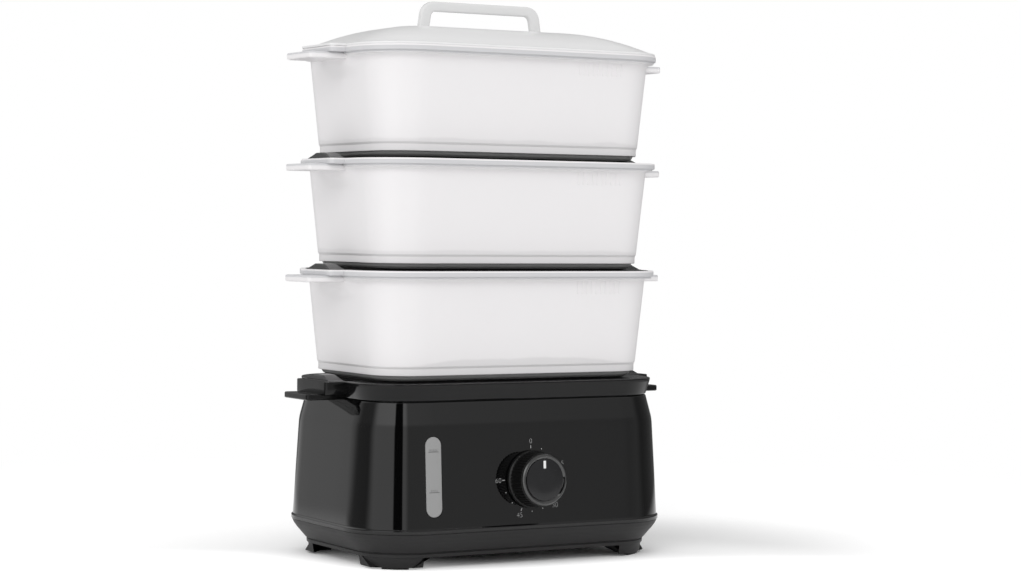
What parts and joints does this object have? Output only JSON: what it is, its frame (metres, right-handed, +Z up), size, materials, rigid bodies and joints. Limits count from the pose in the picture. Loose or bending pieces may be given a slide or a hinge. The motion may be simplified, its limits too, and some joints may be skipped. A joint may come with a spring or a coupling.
{
  "type": "electric food steamer",
  "caption": "Tall stacked food steamer: black heated water base with a timer dial and a water window, black drip tray, frosted white baskets and a domed white lid.",
  "frame": {"origin": "on the floor, under the middle of the whole part's box, dial and grommet included", "axes": "+Z up, -Y out of the front with the dial, +X to the right seen from the front"},
  "size_m": [0.33, 0.2118, 0.4514],
  "materials": {
    "gloss_black": "polished black plastic",
    "matte_black": "fine matt black plastic",
    "satin_black": "satin black plastic",
    "frosted_white": "frosted white plastic, lets some light through",
    "lid_white": "satin white plastic",
    "handle_white": "gloss white plastic",
    "lens_smoke": "smoked clear plastic",
    "knob_black": "polished black plastic",
    "bezel_black": "bright polished black",
    "pointer_white": "white print",
    "rubber_black": "soft rubber",
    "seal_grey": "silicone rubber",
    "steel": "plain steel",
    "stainless": "brushed stainless steel",
    "inner_grey": "moulded grey plastic",
    "inner_white": "moulded white plastic",
    "wire_white": "insulated wire",
    "fuse_metal": "bright metal"
  },
  "bodies": {
    "base_unit": {"base_housing": "gloss_black", "bottom_plinth": "matte_black", "foot_pads": "rubber_black", "housing_screws": "steel", "water_reservoir": "satin_black", "heater_gasket": "seal_grey", "heater_plate": "stainless", "heater_clamp": "steel", "heater_screws": "steel", "heater_element": "stainless", "thermostat": "inner_white", "thermal_fuse": "fuse_metal", "water_level_window": "lens_smoke", "window_seal": "seal_grey", "gauge_cell": "inner_grey", "gauge_pipe": "seal_grey", "timer_bracket": "steel", "timer_mechanism": "inner_white", "timer_nut": "steel", "terminal_block": "inner_white", "internal_wiring": "wire_white", "cord_gland": "rubber_black"},
    "timer_dial": {"timer_knob": "knob_black", "knob_bezel": "bezel_black", "knob_face": "knob_black", "knob_pointer": "pointer_white", "timer_shaft": "steel"},
    "steam_ring": {"steam_ring": "inner_grey"},
    "drip_tray": {"drip_tray": "gloss_black"},
    "basket_base_lower": {"basket_base_lower": "satin_black"},
    "basket_wall_lower": {"basket_wall_lower": "frosted_white"},
    "basket_base_middle": {"basket_base_middle": "satin_black"},
    "basket_wall_middle": {"basket_wall_middle": "frosted_white"},
    "basket_base_upper": {"basket_base_upper": "satin_black"},
    "basket_wall_upper": {"basket_wall_upper": "frosted_white"},
    "lid": {"lid_shell": "lid_white", "lid_handle": "handle_white", "lid_screws": "steel"}
  },
  "joints": [
    {"name": "timer_turn", "type": "hinge", "parent": "base_unit", "child": "timer_dial", "pos_m": [0, -0.08226, 0.0683], "axis": [0, 0.9982, -0.0604], "range_deg": [0, 270]},
    {"name": "steam_ring_lift", "type": "slide", "parent": "base_unit", "child": "steam_ring", "axis": [0, 0, 1], "range_m": [0, 0.025]},
    {"name": "drip_tray_lift", "type": "slide", "parent": "base_unit", "child": "drip_tray", "axis": [0, 0, 1], "range_m": [0, 0.05]},
    {"name": "lower_base_lift", "type": "slide", "parent": "drip_tray", "child": "basket_base_lower", "axis": [0, 0, 1], "range_m": [0, 0.05]},
    {"name": "lower_wall_lift", "type": "slide", "parent": "basket_base_lower", "child": "basket_wall_lower", "axis": [0, 0, 1], "range_m": [0, 0.05]},
    {"name": "middle_base_lift", "type": "slide", "parent": "basket_wall_lower", "child": "basket_base_middle", "axis": [0, 0, 1], "range_m": [0, 0.05]},
    {"name": "middle_wall_lift", "type": "slide", "parent": "basket_base_middle", "child": "basket_wall_middle", "axis": [0, 0, 1], "range_m": [0, 0.05]},
    {"name": "upper_base_lift", "type": "slide", "parent": "basket_wall_middle", "child": "basket_base_upper", "axis": [0, 0, 1], "range_m": [0, 0.05]},
    {"name": "upper_wall_lift", "type": "slide", "parent": "basket_base_upper", "child": "basket_wall_upper", "axis": [0, 0, 1], "range_m": [0, 0.05]},
    {"name": "lid_lift", "type": "slide", "parent": "basket_wall_upper", "child": "lid", "axis": [0, 0, 1], "range_m": [0, 0.06]}
  ]
}
